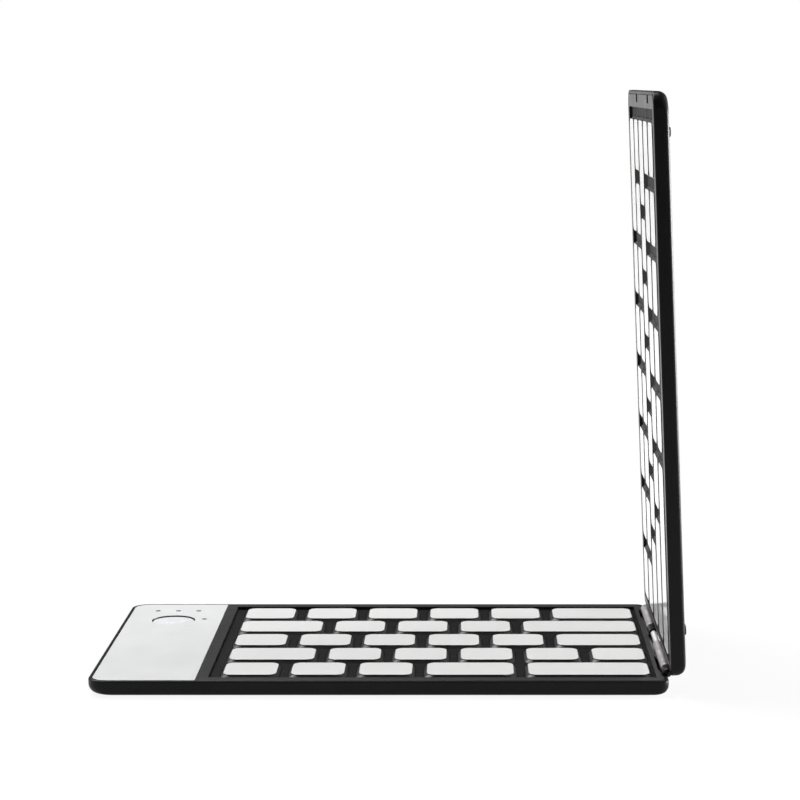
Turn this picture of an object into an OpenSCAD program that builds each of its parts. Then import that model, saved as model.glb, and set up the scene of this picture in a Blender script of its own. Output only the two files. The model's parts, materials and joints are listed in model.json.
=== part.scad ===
// Folding pocket keyboard: two thin halves joined by a hinge along one short end.
// The base half lies flat and carries the white end panel; the lid half stands up.
// Both halves are drawn lying flat: x = 0 on the hinge axis and growing towards the
// free end, y = 0 on the front face, z = 0 on the underside of the shell.

/* [Keys] */
// Distance from one key column to the next
pitch_x = 17.1; // [16.9:0.05:17.3]
// Distance from one key row to the next
pitch_y = 16.3; // [16.2:0.05:16.6]
// Gap between two key tops side by side
top_gap_x = 3.7; // [3.5:0.05:3.9]
// Gap between the key tops of two rows
top_gap_y = 3.4; // [3.2:0.05:3.6]
// Corner radius of a key top
key_r = 2.2; // [1.6:0.1:2.4]
// Height of the key tops above the rim
key_proud = 0.1; // [0.05:0.05:0.15]
// Travel of a key
key_travel = 0.8; // [0.6:0.05:0.8]
// Thickness of the white layer on a key
key_layer = 0.25; // [0.2:0.05:0.3]
// Sideways run of a key's sloped skirt
skirt_run_x = 0.7; // [0.6:0.05:0.75]
// Front and back run of a key's sloped skirt
skirt_run_y = 0.5; // [0.45:0.05:0.55]
// Gap between a key's skirt and its opening
key_clear = 0.3; // [0.25:0.01:0.32]
// How far the foot of a key reaches under the tray
key_catch = 0.25; // [0.2:0.01:0.26]
// Thickness of a key's top wall
key_wall = 0.75; // [0.6:0.05:0.8]

/* [Halves] */
// Thickness of a half, without its feet
half_t = 3.8; // [3.75:0.05:4.2]
// From the hinge axis to the first key top
hinge_margin = 4.3; // [4.2:0.05:5]
// From the last key top of the lid to its free end
free_margin = 7.7; // [7.4:0.1:9]
// From the front or back face to the key tops
side_margin = 6.35; // [6.2:0.05:7]
// Width of the dark strip between the end panel and the keys
strip_w = 6.3; // [6:0.05:7]
// How far the lid's hinge end stays back from the axis
lid_back = 0.45; // [0.4:0.01:0.5]
// Corner radius at the free ends, seen from above
free_corner_r = 4.5; // [3.5:0.1:5.5]
// Corner radius at the hinge ends, seen from above
hinge_corner_r = 2; // [1.6:0.1:2.4]
// Radius of the lower edge at each end
end_r = 2.4; // [2:0.1:2.6]
// Radius of the upper edges and of the uprights between them
edge_r = 0.4; // [0.3:0.05:0.5]
// Radius of the lower long edges
under_r = 1; // [0.8:0.05:1]
// Width of the shell's rim
rim_w = 0.9; // [0.8:0.05:1]
// Thickness of the shell's floor
floor_t = 0.6; // [0.5:0.05:0.65]
// Gap between pieces that are set into each other
fit_gap = 0.08; // [0.05:0.01:0.1]
// Depth of the well that the keys stand in
well_depth = 0.8; // [0.6:0.05:0.9]
// Thickness of the steel support plate and of the hinge leaves' feet
plate_t = 0.3; // [0.25:0.01:0.32]
// Thickness of the rubber dome sheet between its domes
web_t = 0.15; // [0.12:0.01:0.18]

/* [Hinge] */
// Angle between the two halves
lid_angle = 87.6; // [80:0.1:90]
// Height of the hinge axis above the rim
hinge_rise = 0.45; // [0.42:0.01:0.55]
// Radius of the hinge barrels
barrel_r = 1.25; // [1.15:0.01:1.3]
// Clearance round a barrel
barrel_clear = 0.3; // [0.25:0.01:0.35]
// Radius of the hinge pins
pin_r = 0.8; // [0.7:0.01:0.82]
// Running clearance round a pin
pin_clear = 0.04; // [0.02:0.01:0.06]
// Gap between two barrels in line
knuckle_gap = 0.2; // [0.15:0.01:0.25]
// Thickness of the arm that carries a barrel
arm_t = 0.35; // [0.3:0.01:0.4]
// Radius of the link cable
cable_r = 0.3; // [0.25:0.01:0.32]

/* [End panel] */
// Thickness of the white panel
panel_t = 0.7; // [0.6:0.05:0.8]
// Radius of the round button
button_r = 5.65; // [5:0.05:5.8]
// Gap round the button
button_gap = 0.3; // [0.25:0.05:0.35]
// How far the button's face lies below the panel's
button_drop = 0.35; // [0.2:0.05:0.4]
// Travel of the button
button_travel = 0.3; // [0.2:0.05:0.3]
// Place of the button from the free end
button_in = 13.7; // [13.1:0.1:14.1]
// Place of the button from the back face
button_back = 21; // [20:0.1:21.8]
// Distance between two indicator lenses
lens_pitch = 5.7; // [5:0.1:5.8]
// Distance from the button to the row of lenses
lens_row = 11.7; // [10.5:0.1:12.5]
// Place of the single lens beside the button, along and across
lens_side = [8.4, 1.2];
// Radius of an indicator lens
lens_r = 0.7; // [0.5:0.05:0.8]

/* [Feet and screws] */
// Height of the rubber feet
foot_h = 0.5; // [0.4:0.05:0.7]
// Width of a rubber foot
foot_w = 2.4; // [2:0.1:3]
// Length of a rubber foot
foot_len = 16; // [12:0.5:20]
// From the front or back face to a rubber foot of the lid
foot_in = 2.4; // [2:0.1:3]
// Shank radius of a case screw
screw_r = 0.6; // [0.5:0.01:0.65]
// Head radius of a case screw
screw_head_r = 1.15; // [1:0.01:1.2]

/* [Hidden] */
// Key widths in units, from the free end to the hinge, back row first
BASE_ROWS = [
    [1, 1, 1, 1, 1, 1.5],
    [1.5, 1, 1, 1, 2],
    [1, 1, 1, 1, 1, 1.5],
    [1.5, 1, 1, 1, 1, 1],
    [1, 1, 1, 1.5, 2]
];
LID_ROWS = [
    [2, 1, 1, 1, 1, 1, 1],
    [1, 1, 1, 1, 1, 1, 1, 1],
    [1.5, 1, 1, 1, 1, 1, 1.5],
    [1, 1, 1, 1, 1, 1, 2],
    [1, 1, 1, 1, 1, 3]
];
BASE_UNITS = 6.5;
LID_UNITS = 8;
LETTERS = ["a", "b", "c", "d", "e"];
FRONT_ROW = 4;
slack = 0.05;
cut = 1;

// Sizes of a half
key_depth = pitch_y - top_gap_y;
skirt_depth = key_depth + 2 * skirt_run_y;
skirt_r = key_r + 0.4;
key_reach = key_clear + key_catch;
half_len = hinge_margin + LID_UNITS * pitch_x - top_gap_x + free_margin;
half_depth = FRONT_ROW * pitch_y + key_depth + 2 * side_margin;
panel_x = hinge_margin + BASE_UNITS * pitch_x - top_gap_x + strip_w;
inner_r = end_r - rim_w;

// Heights inside a half
sheet_z = floor_t + plate_t;
sheet_top = sheet_z + web_t;
key_foot_z = sheet_top + key_travel + slack;
key_foot_t = 0.35;
boss_z = key_foot_z + 0.25;
tray_under = key_foot_z + key_foot_t + slack;
well_z = half_t - well_depth;
key_top_z = half_t + key_proud;
layer_z = key_top_z - key_layer;

// Borders of the wells, from the front face, the hinge axis, the panel and the free end
band_y = 3.9;
band_hinge = 2.9;
band_panel = 2.9;
band_free = 4.4;

// Shallow slots in the lid's end border: starts from the front face, width, reach from the end
slot_ys = [16.3, 54.1];
slot_w = 4.6;
slot_reach = 3.1;

// Stations along the hinge, from the front
axis_z = half_t + hinge_rise;
pocket_r = barrel_r + barrel_clear;
pocket_y = [5.4, half_depth - 7.6];
front_boss = [7.2, 11];
front_base = [front_boss[1] + knuckle_gap, 26.4];
front_lid = [front_base[1] + knuckle_gap, 37.6];
mid_base = [51.2, 54.4];
mid_lid = [mid_base[1] + knuckle_gap, 58];
back_lid = [mid_lid[1] + knuckle_gap, half_depth - 17.9];
back_base = [back_lid[1] + knuckle_gap, half_depth - 8.4];
base_leaves = [front_base, back_base];
lid_leaves = [front_lid, back_lid];
pin_end = 1.2;
front_pin = [front_boss[0] + 0.1, mid_base[0] + pin_end];
back_pin = [mid_lid[1] - pin_end, back_base[1] - 0.1];

// Hinge leaf: foot, bend and arm
corner_x = lid_back + rim_w + inner_r;
arm_x = lid_back + rim_w + fit_gap;
arm_out = arm_x + arm_t;
bridge_z = [half_t - 0.7, half_t - 0.05];
leaf_len = 9;
stake_r = 0.8;
stake_in = 2.5;
sheet_x = corner_x + 0.3;
lid_plate_end = half_len - free_corner_r - slack;

// Link cable: from the rubber sheet up to the hinge axis
cable_x = 2.4;
cable_z = sheet_top + slack + 0.1;
cable_bend_z = 2.1;
cable_bore = cable_r + 0.1;
cable_in = 1.9;
base_cable_y = mid_base[0] + cable_in;
lid_cable_y = mid_lid[1] - cable_in;
cable_meet = (mid_base[1] + mid_lid[0]) / 2;

// End panel and what lies under it
panel_under = half_t - panel_t;
ledge_w = 1.2;
ledge_in = 6;
flange_t = 0.35;
flange_r = button_r + button_gap + 0.5;
flange_z = panel_under - slack - flange_t;
board_t = 0.5;
board_top = sheet_top + board_t;
board_x = [panel_x + ledge_w + 0.4, half_len - 6];
board_y = [51, half_depth - rim_w - 1];
button_x = half_len - button_in;
button_y = half_depth - button_back;
board_posts_x = [board_x[0] + 1.2, board_x[1] - 1.2];
board_posts_y = [board_y[0] + 2, board_y[1] - 2];
lamp_h = 0.4;
switch_h = 0.6;
lens_y = button_y + lens_row;
lens_spots = [
    [button_x + lens_pitch, lens_y], [button_x, lens_y], [button_x - lens_pitch, lens_y],
    [button_x - lens_side[0], button_y + lens_side[1]]
];
chip_size = 5;
small_chip = [3, 2.6];
chip_t = 0.7;
chip_at = [board_x[0] + 9.75, board_y[0] + 5];
small_chip_at = [board_x[0] + 3.75, board_y[0] + 5];
lead_r = 0.3;
lead_xs = [(board_x[0] + board_x[1]) / 2 - 2, (board_x[0] + board_x[1]) / 2 + 2];
battery_y = [5, 48];
battery_t = 2.2;
magnet_size = [3, 10, 1.6];
magnet_x = half_len - 4.4;
magnet_ys = [25, half_depth - 25];
socket_size = [7.4, 2.3, 5.2];
socket_z = floor_t + slack + socket_size[1] / 2;
socket_y = half_depth - 0.2;

// Domes under the keys
dome_r = 2.4;
dome_tip_r = 1.5;
dome_wall = 0.35;
dome_top = boss_z - 0.02;

// Tail of the base's rubber sheet under the board: from the front face, and its reach
tail_ys = [62, 76];
tail_reach = 3;

// Feet and case screws
foot_sink = 0.2;
foot_x = 11.5;
foot_xs = [foot_x, half_len - 10];
base_foot_ys = [side_margin + foot_len / 2, half_depth - side_margin - foot_len / 2];
lid_foot_ys = [foot_in + foot_len / 2, half_depth - foot_in - foot_len / 2];
screw_top = 2.6;
screw_in = 2.35;
screw_ys = [screw_in, half_depth - screw_in];
first_screw = 15.5;
panel_screw = 4.45;
free_screw = 14;
base_screw_xs = [first_screw, 64, panel_x - panel_screw];
lid_screw_xs = [first_screw, 75, half_len - free_screw];

// Placing on the object's own origin, in the middle of its footprint
tilt = 90 - lid_angle;
right_x = (hinge_rise + half_t + foot_h) * cos(tilt) - (foot_x - foot_w / 2) * sin(tilt);
mid_x = (right_x - half_len) / 2;

function key_name(r, k) = str("base_key_", LETTERS[r], k + 1);
function row_name(r) = str("lid_keys_row_", LETTERS[r]);
$fn = 48;

// Colours
black = "#201c1e";
dark = "#3a383a";
white = "#e2e4e6";
steel = "#a8a6a8";
rubber = "#2a2a2c";

// Sum of the first n widths of a row, and the middle of key k along and across the half
function before(row, n) = n == 0 ? 0 : row[n - 1] + before(row, n - 1);
function key_x(row, k, units) =
    hinge_margin - top_gap_x / 2 + (units - before(row, k) - row[k] / 2) * pitch_x;
function key_y(r) = side_margin + key_depth / 2 + (FRONT_ROW - r) * pitch_y;
function top_width(u) = u * pitch_x - top_gap_x;

// A rectangle round the origin with rounded corners
module round_rect(w, d, r) {
    square([w - 2 * r, d], center = true);
    square([w, d - 2 * r], center = true);
    for (sx = [-1, 1])
        for (sy = [-1, 1])
            translate([sx * (w / 2 - r), sy * (d / 2 - r)])
                circle(r);
}

// A box between two corners
module box(from, to) {
    translate(from)
        cube(to - from);
}

// A rod along y, between two stations
module rod_y(x, z, r, ys) {
    translate([x, ys[1], z])
        rotate([90, 0, 0])
            cylinder(h = ys[1] - ys[0], r = r);
}

// Copies of a child at every pair of x and y
module at_points(xs, ys) {
    for (x = xs)
        for (y = ys)
            translate([x, y, 0])
                children();
}

// Plan outline of a half, drawn in by inset on every side
module plan(end_in, inset) {
    rh = hinge_corner_r - inset;
    rf = free_corner_r - inset;
    x0 = end_in + inset;
    x1 = half_len - inset;
    y0 = inset;
    y1 = half_depth - inset;
    translate([x0 + rh, y0])
        square([x1 - x0 - rh - rf, y1 - y0]);
    translate([x0, y0 + rh])
        square([rh + cut, y1 - y0 - 2 * rh]);
    translate([x1 - rf - cut, y0 + rf])
        square([rf + cut, y1 - y0 - 2 * rf]);
    for (y = [y0 + rh, y1 - rh])
        translate([x0 + rh, y])
            circle(rh);
    for (y = [y0 + rf, y1 - rf])
        translate([x1 - rf, y])
            circle(rf);
}

// Side outline of a half: a long bar with its two lower corners rounded
module side_outline(end_in, inset, low, r) {
    x0 = end_in + inset;
    x1 = half_len - inset;
    translate([x0 + r, low])
        square([x1 - x0 - 2 * r, r + cut]);
    translate([x0, low + r])
        square([x1 - x0, half_t + cut - low - r]);
    for (x = [x0 + r, x1 - r])
        translate([x, low + r])
            circle(r);
}

module side_prism(end_in, inset, low, r) {
    translate([0, half_depth, 0])
        rotate([90, 0, 0])
            linear_extrude(half_depth)
                side_outline(end_in, inset, low, r);
}

// The inside form of a half between two heights
module inside_form(end_in, inset, low, r, zs) {
    intersection() {
        translate([0, 0, zs[0]])
            linear_extrude(zs[1] - zs[0])
                plan(end_in, inset);
        side_prism(end_in, inset, low, r);
    }
}

// One corner of a half, with its upper and lower edges rounded
module corner_post(r) {
    rotate_extrude()
        intersection() {
            union() {
                square([r - under_r, half_t]);
                translate([0, under_r])
                    square([r - edge_r, half_t - under_r]);
                translate([0, under_r])
                    square([r, half_t - under_r - edge_r]);
                translate([r - under_r, under_r])
                    circle(under_r);
                translate([r - edge_r, half_t - edge_r])
                    circle(edge_r, $fn = 24);
            }
            square([r, half_t]);
        }
}

// The outside form of a half
module outside_form(end_in) {
    intersection() {
        hull() {
            for (y = [hinge_corner_r, half_depth - hinge_corner_r])
                translate([end_in + hinge_corner_r, y, 0])
                    corner_post(hinge_corner_r);
            for (y = [free_corner_r, half_depth - free_corner_r])
                translate([half_len - free_corner_r, y, 0])
                    corner_post(free_corner_r);
        }
        side_prism(end_in, 0, 0, end_r);
    }
}

// A case screw's outline with a gap all round it
module screw_shape(gap, top) {
    cylinder(h = floor_t - 0.1, r1 = screw_head_r + gap, r2 = screw_r + gap);
    cylinder(h = top, r = screw_r + gap);
}

// Foot of a moulded knuckle on the end wall of a shell
module knuckle_foot(end_in, ys) {
    box([end_in + slack, ys[0], half_t - 2], [end_in + rim_w, ys[1], axis_z]);
}

// A knuckle with two flat ends
module knuckle(end_in, ys) {
    rod_y(0, axis_z, barrel_r, ys);
    knuckle_foot(end_in, ys);
}

// A knuckle whose front end is a dome
module domed_knuckle(end_in, ys) {
    length = ys[1] - ys[0];
    translate([0, ys[1], axis_z])
        rotate([90, 0, 0])
            rotate_extrude()
                intersection() {
                    union() {
                        square([barrel_r, length]);
                        translate([0, length])
                            circle(barrel_r);
                    }
                    square([barrel_r, length + barrel_r - slack]);
                }
    knuckle_foot(end_in, ys);
}

// Places of the stakes that hold the hinge leaves
module at_stakes(leaves) {
    for (ys = leaves)
        for (y = [ys[0] + stake_in, ys[1] - stake_in])
            translate([leaf_len - 2.2, y, 0])
                children();
}

// A shell: floor, rim, hinge pocket, knuckles, stakes, foot recesses and holes
module shell(end_in, knuckles, leaves, screws, foot_ys, domed = []) {
    difference() {
        union() {
            difference() {
                outside_form(end_in);
                inside_form(end_in, rim_w, floor_t, inner_r, [floor_t, half_t + cut]);
                rod_y(0, axis_z, pocket_r, pocket_y);
                for (ys = leaves)
                    box([-cut, ys[0] - knuckle_gap / 2, bridge_z[0] - 0.1],
                        [arm_x + slack, ys[1] + knuckle_gap / 2, half_t + cut]);
            }
            for (ys = knuckles)
                knuckle(end_in, ys);
            for (ys = domed)
                domed_knuckle(end_in, ys);
            at_stakes(leaves)
                translate([0, 0, floor_t - slack])
                    cylinder(h = plate_t + slack, r = stake_r);
        }
        for (ys = [front_pin, back_pin])
            rod_y(0, axis_z, pin_r + pin_clear, ys);
        at_points(screws, screw_ys) {
            screw_shape(slack, floor_t + cut);
            translate([0, 0, -cut])
                cylinder(h = cut, r = screw_head_r + slack);
        }
        at_points(foot_xs, foot_ys)
            translate([0, 0, -cut])
                linear_extrude(cut + foot_sink)
                    round_rect(foot_w + 2 * slack, foot_len + 2 * slack, foot_w / 2);
    }
}

// The link cable's path in one half: up from the sheet, then over to the axis and along it
module cable_path(y, y_meet, r) {
    dx = cable_x;
    dz = axis_z - cable_bend_z;
    translate([cable_x, y, cable_z])
        cylinder(h = cable_bend_z - cable_z, r = r);
    translate([cable_x, y, cable_bend_z]) {
        sphere(r);
        rotate([0, -atan2(dx, dz), 0])
            cylinder(h = sqrt(dx * dx + dz * dz), r = r - 0.03);
    }
    rod_y(0, axis_z, r, y < y_meet ? [y - r, y_meet] : [y_meet, y + r]);
}

module base_shell() {
    color(black)
        base_place()
            difference() {
                union() {
                    shell(0, [mid_base], base_leaves, base_screw_xs, base_foot_ys, [front_boss]);
                    box([half_len - rim_w - 1, ledge_in, floor_t - slack],
                        [half_len - rim_w + slack, half_depth - ledge_in, panel_under]);
                    at_points(board_posts_x, board_posts_y)
                        translate([0, 0, floor_t - slack])
                            cylinder(h = sheet_top - floor_t + slack, r = 0.9);
                    at_points([magnet_x], magnet_ys)
                        translate([0, 0, (floor_t + sheet_top) / 2 - slack / 2])
                            cube([magnet_size[0], magnet_size[1], sheet_top - floor_t + slack],
                                center = true);
                }
                cable_path(base_cable_y, mid_base[1] + cut, cable_bore);
                translate([button_x, half_depth, socket_z])
                    rotate([90, 0, 0])
                        linear_extrude(2 * rim_w + 0.2, center = true)
                            round_rect(socket_size[0] + 0.3, socket_size[1] + 0.3, 0.8);
            }
}

module lid_shell() {
    color(black)
        lid_place()
            difference() {
                shell(lid_back, [mid_lid], lid_leaves, lid_screw_xs, lid_foot_ys);
                cable_path(lid_cable_y, mid_lid[0] - cut, cable_bore);
            }
}

// Openings of all keys, with a wider pocket under the tray for each key's foot
module key_holes(rows, units) {
    for (r = [0:4])
        for (k = [0:len(rows[r]) - 1]) {
            w = top_width(rows[r][k]) + 2 * skirt_run_x;
            grow = 2 * (key_reach + fit_gap);
            translate([key_x(rows[r], k, units), key_y(r), 0]) {
                translate([0, 0, tray_under - 0.1])
                    linear_extrude(half_t)
                        round_rect(w + 2 * key_clear, skirt_depth + 2 * key_clear,
                            skirt_r + key_clear);
                translate([0, 0, sheet_top - cut])
                    linear_extrude(tray_under - sheet_top + cut)
                        round_rect(w + grow, skirt_depth + grow, 1);
            }
        }
}

// A tray: a dark plate with a raised border, a well and one opening for each key
module tray(end_in, rows, units, well_end, leaves, screws, cable_y) {
    difference() {
        inside_form(end_in, rim_w + fit_gap, floor_t + fit_gap, inner_r - fit_gap,
            [sheet_top, half_t]);
        rod_y(0, axis_z, pocket_r + slack, [pocket_y[0] - slack, pocket_y[1] + slack]);
        for (ys = leaves) {
            y0 = ys[0] - knuckle_gap / 2;
            y1 = ys[1] + knuckle_gap / 2;
            box([0, y0, 0], [arm_out + fit_gap, y1, half_t + cut]);
            box([0, y0, 0], [corner_x + 0.25, y1, tray_under]);
        }
        box([band_hinge, band_y, well_z], [well_end, half_depth - band_y, half_t + cut]);
        box([0, cable_y - 0.7, 0], [corner_x + 0.25, cable_y + 0.7, tray_under]);
        box([0, cable_y - 0.7, 0], [cable_x + 0.35, cable_y + 0.7, half_t - 0.35]);
        key_holes(rows, units);
        at_points(screws, screw_ys)
            cylinder(h = screw_top + slack, r = screw_r + 0.02);
    }
}

module base_tray() {
    color(dark)
        base_place()
            intersection() {
                tray(0, BASE_ROWS, BASE_UNITS, panel_x - band_panel, base_leaves,
                    base_screw_xs, base_cable_y);
                union() {
                    cube([panel_x, half_depth, half_t + cut]);
                    cube([panel_x + ledge_w, half_depth, panel_under]);
                }
            }
}

// The lid's tray also holds the magnets and has two shallow slots in its end border
module lid_tray() {
    color(dark)
        lid_place()
            difference() {
                tray(lid_back, LID_ROWS, LID_UNITS, half_len - band_free, lid_leaves,
                    lid_screw_xs, lid_cable_y);
                at_points([magnet_x], magnet_ys)
                    translate([0, 0, sheet_top + magnet_size[2] / 2])
                        cube(magnet_size + [2 * slack, 2 * slack, 2 * slack], center = true);
                for (y = slot_ys)
                    box([half_len - slot_reach, y, well_z],
                        [half_len - rim_w, y + slot_w, half_t + cut]);
            }
}

// Steel plate under the dome sheet, cut out round the feet of the hinge leaves
module support_plate(end_x, leaves, screws) {
    y0 = rim_w + fit_gap;
    difference() {
        box([sheet_x, y0, floor_t], [end_x, half_depth - y0, sheet_z]);
        for (ys = leaves)
            box([0, ys[0] - slack, 0], [leaf_len + slack, ys[1] + slack, half_t]);
        at_points(screws, screw_ys)
            cylinder(h = half_t, r = screw_r + 0.1);
    }
}

module base_support_plate() {
    color(steel)
        base_place()
            support_plate(panel_x - 0.3, base_leaves, base_screw_xs);
}

module lid_support_plate() {
    color(steel)
        lid_place()
            support_plate(lid_plate_end, lid_leaves, lid_screw_xs);
}

// Rubber sheet with one hollow dome under each key and a tab for the link cable
module dome_sheet(rows, units, end_x, screws, cable_y) {
    y0 = rim_w + fit_gap;
    difference() {
        union() {
            box([sheet_x, y0, sheet_z], [end_x, half_depth - y0, sheet_top]);
            box([cable_x - 0.35, cable_y - 0.6, sheet_z], [sheet_x - 0.12, cable_y + 0.6, cable_z]);
            box([cable_x - 0.35, cable_y - 0.6, sheet_z], [sheet_x + cut, cable_y + 0.6, sheet_top]);
            for (r = [0:4])
                for (k = [0:len(rows[r]) - 1])
                    translate([key_x(rows[r], k, units), key_y(r), sheet_z])
                        cylinder(h = dome_top - sheet_z, r1 = dome_r, r2 = dome_tip_r);
        }
        for (r = [0:4])
            for (k = [0:len(rows[r]) - 1])
                translate([key_x(rows[r], k, units), key_y(r), sheet_z - slack])
                    cylinder(h = dome_top - dome_wall - sheet_z, r1 = dome_r - dome_wall,
                        r2 = dome_tip_r - dome_wall);
        at_points(screws, screw_ys)
            cylinder(h = half_t, r = screw_r + 0.1);
    }
}

module base_dome_sheet() {
    color("#5c6064")
        base_place() {
            dome_sheet(BASE_ROWS, BASE_UNITS, panel_x - 0.3, base_screw_xs, base_cable_y);
            box([panel_x - cut, tail_ys[0], sheet_z],
                [board_x[0] + tail_reach, tail_ys[1], sheet_top]);
        }
}

module lid_dome_sheet() {
    color("#5c6064")
        lid_place()
            dome_sheet(LID_ROWS, LID_UNITS, lid_plate_end, lid_screw_xs, lid_cable_y);
}

// Side view of a key's skirt: upright below, sloped above
module skirt_outline(low_w, top_w) {
    polygon([[-low_w / 2, 0], [low_w / 2, 0], [low_w / 2, well_z], [top_w / 2, layer_z],
        [-top_w / 2, layer_z], [-low_w / 2, well_z]]);
}

// One key: white layer, sloped skirt, foot that catches under the tray, and a boss
module key_cap(u) {
    w = top_width(u);
    skirt_w = w + 2 * skirt_run_x;
    difference() {
        union() {
            translate([0, 0, layer_z])
                linear_extrude(key_layer)
                    round_rect(w, key_depth, key_r);
            intersection() {
                translate([0, 0, key_foot_z])
                    linear_extrude(layer_z - key_foot_z)
                        round_rect(skirt_w, skirt_depth, skirt_r);
                rotate([90, 0, 0])
                    linear_extrude(skirt_depth + cut, center = true)
                        skirt_outline(skirt_w, w);
                rotate([90, 0, 90])
                    linear_extrude(skirt_w + cut, center = true)
                        skirt_outline(skirt_depth, key_depth);
            }
            translate([0, 0, key_foot_z])
                linear_extrude(key_foot_t)
                    round_rect(skirt_w + 2 * key_reach, skirt_depth + 2 * key_reach, 0.9);
        }
        difference() {
            translate([0, 0, key_foot_z - cut])
                linear_extrude(key_top_z - key_wall - key_foot_z + cut)
                    round_rect(w - 0.4, key_depth - 0.4, key_r);
            translate([0, 0, boss_z])
                cylinder(h = half_t, r = dome_tip_r);
        }
    }
}

module placed_key(rows, units, r, k) {
    translate([key_x(rows[r], k, units), key_y(r), 0])
        key_cap(rows[r][k]);
}

module base_key(r, k) {
    color(white)
        base_place()
            placed_key(BASE_ROWS, BASE_UNITS, r, k);
}

// A row of the lid's keys; the space bar at the end of the front row is its own piece
module lid_key_row(r) {
    last = len(LID_ROWS[r]) - (r == FRONT_ROW ? 2 : 1);
    color(white)
        lid_place()
            for (k = [0:last])
                placed_key(LID_ROWS, LID_UNITS, r, k);
}

module space_bar() {
    color(white)
        lid_place()
            placed_key(LID_ROWS, LID_UNITS, FRONT_ROW, len(LID_ROWS[FRONT_ROW]) - 1);
}

// White end panel with a round opening for the button and holes for the lenses
module panel_cover() {
    color(white)
        base_place()
            difference() {
                intersection() {
                    translate([0, 0, panel_under])
                        linear_extrude(panel_t)
                            plan(0, rim_w + fit_gap);
                    box([panel_x + fit_gap, 0, 0], [half_len, half_depth, half_t + cut]);
                }
                translate([button_x, button_y, 0])
                    cylinder(h = half_t + cut, r = button_r + button_gap);
                for (p = lens_spots)
                    translate([p[0], p[1], 0])
                        cylinder(h = half_t + cut, r = lens_r + slack);
            }
}

// Round button with a flange under the panel and a stem over the switch
module connect_button() {
    stem_z = board_top + switch_h + button_travel + slack;
    color(white)
        base_place()
            translate([button_x, button_y, 0]) {
                translate([0, 0, flange_z])
                    cylinder(h = half_t - button_drop - flange_z, r = button_r);
                translate([0, 0, flange_z])
                    cylinder(h = flange_t, r = flange_r);
                translate([0, 0, stem_z])
                    cylinder(h = half_t - stem_z - panel_t, r = 1.2);
            }
}

// Clear light pipes over the indicator lamps
module indicator_lenses() {
    color("#9aa0a4")
        base_place()
            for (p = lens_spots)
                translate([p[0], p[1], board_top + lamp_h])
                    cylinder(h = half_t - board_top - lamp_h, r = lens_r);
}

// Circuit board with its lamps and chips, cut out round the socket
module circuit_board() {
    color("#1f5a3a")
        base_place()
            difference() {
                union() {
                    box([board_x[0], board_y[0], sheet_top], [board_x[1], board_y[1], board_top]);
                    for (p = lens_spots)
                        translate([p[0], p[1], board_top + lamp_h / 2 - slack / 2])
                            cube([1.6, 1.2, lamp_h + slack], center = true);
                    translate([chip_at[0], chip_at[1], board_top - slack])
                        cube([chip_size, chip_size, chip_t]);
                    translate([small_chip_at[0], small_chip_at[1], board_top - slack])
                        cube([small_chip[0], small_chip[1], chip_t]);
                }
                box([button_x - socket_size[0] / 2 - 0.15, socket_y - socket_size[2] - 0.3, 0],
                    [button_x + socket_size[0] / 2 + 0.15, half_depth, half_t]);
            }
}

module tact_switch() {
    color(steel)
        base_place()
            translate([button_x, button_y, board_top]) {
                translate([-1.8, -1.8, 0])
                    cube([3.6, 3.6, switch_h - 0.15]);
                cylinder(h = switch_h, r = 1);
            }
}

// Charging socket in the back wall: a metal mouth with a contact tongue
module charging_socket() {
    color(steel)
        base_place()
            translate([button_x, socket_y, socket_z]) {
                rotate([90, 0, 0])
                    difference() {
                        linear_extrude(socket_size[2])
                            round_rect(socket_size[0], socket_size[1], 0.6);
                        translate([0, 0, -cut])
                            linear_extrude(socket_size[2] - 0.6 + cut)
                                round_rect(socket_size[0] - 0.6, socket_size[1] - 0.6, 0.4);
                    }
                translate([-2, 0.3 - socket_size[2], -0.2])
                    cube([4, socket_size[2] - 1.2, 0.4]);
            }
}

// Flat cell with its two leads to the board
module battery() {
    color("#8c9096")
        base_place() {
            box([board_x[0], battery_y[0], floor_t], [board_x[1], battery_y[1], floor_t + battery_t]);
            for (x = lead_xs)
                rod_y(x, board_top + lead_r, lead_r, [battery_y[1] - 0.5, board_y[0] + 1.5]);
        }
}

// The two halves of the link cable meet end to end on the hinge axis
module base_link_cable() {
    color(rubber)
        base_place()
            cable_path(base_cable_y, cable_meet - 0.01, cable_r);
}

module lid_link_cable() {
    color(rubber)
        lid_place()
            cable_path(lid_cable_y, cable_meet + 0.01, cable_r);
}

// Hinge leaves: a staked foot on the shell floor, a bent arm and a barrel
module hinge_leaves(leaves) {
    difference() {
        for (ys = leaves) {
            rod_y(0, axis_z, barrel_r, ys);
            translate([0, ys[1], 0])
                rotate([90, 0, 0])
                    linear_extrude(ys[1] - ys[0])
                        polygon([[leaf_len, floor_t], [leaf_len, sheet_z], [corner_x + 0.15, sheet_z],
                            [arm_out, floor_t + inner_r + 0.1], [arm_out, bridge_z[1]],
                            [0.2, bridge_z[1]], [0.2, bridge_z[0]], [arm_x, bridge_z[0]],
                            [arm_x, floor_t + inner_r], [corner_x, floor_t]]);
        }
        for (ys = leaves)
            rod_y(0, axis_z, pin_r + pin_clear, [ys[0] - cut, ys[1] + cut]);
        at_stakes(leaves)
            cylinder(h = sheet_z + cut, r = stake_r + slack);
    }
}

module base_hinge_leaf() {
    color(steel)
        base_place()
            hinge_leaves(base_leaves);
}

module lid_hinge_leaf() {
    color(steel)
        lid_place()
            hinge_leaves(lid_leaves);
}

// Steel pins on the hinge axis; the front one shows between the barrels
module hinge_pins() {
    color("#d0d0d2")
        base_place()
            for (ys = [front_pin, back_pin])
                rod_y(0, axis_z, pin_r, [ys[0] + slack, ys[1] - slack]);
}

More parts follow.
